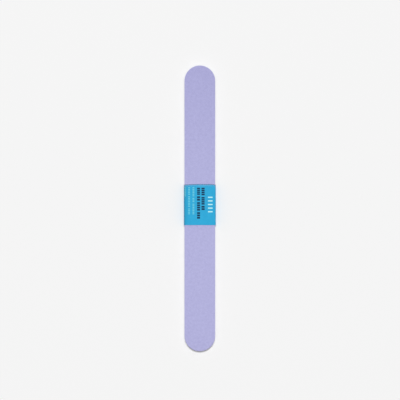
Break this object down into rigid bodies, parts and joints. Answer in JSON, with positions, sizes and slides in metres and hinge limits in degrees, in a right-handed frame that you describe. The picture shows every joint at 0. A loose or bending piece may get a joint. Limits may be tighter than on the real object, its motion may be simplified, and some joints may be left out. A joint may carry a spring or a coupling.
{
  "type": "nail file",
  "caption": "Straight double-sided cushioned nail file with half-round ends, lilac abrasive faces on white foam and a blue paper band round its middle that slides off.",
  "frame": {"origin": "middle of the board in X and Y, on the surface that the file lies on, which is level with the underside of the band's lap", "axes": "+Y along the file, towards its upper end in the picture; +X across it, to the right in the picture; +Z out of the front face"},
  "size_m": [0.0196, 0.1778, 0.005],
  "materials": {
    "abrasive_coat": "matte",
    "polyester_film": "gloss",
    "transfer_adhesive": "satin",
    "foam": "matte",
    "core_plastic": "satin",
    "blue_paper": "satin",
    "paper_glue": "gloss"
  },
  "bodies": {
    "board": {"abrasive_coat_back": "abrasive_coat", "polyester_film_back": "polyester_film", "face_adhesive_back": "transfer_adhesive", "foam_pad_back": "foam", "core_adhesive_back": "transfer_adhesive", "core_board": "core_plastic", "core_adhesive_front": "transfer_adhesive", "foam_pad_front": "foam", "face_adhesive_front": "transfer_adhesive", "polyester_film_front": "polyester_film", "abrasive_coat_front": "abrasive_coat"},
    "band": {"paper_band": "blue_paper", "band_glue": "paper_glue"}
  },
  "joints": [
    {"name": "band_slide", "type": "slide", "parent": "board", "child": "band", "axis": [0, 1, 0], "range_m": [-0.105, 0.1005]}
  ]
}
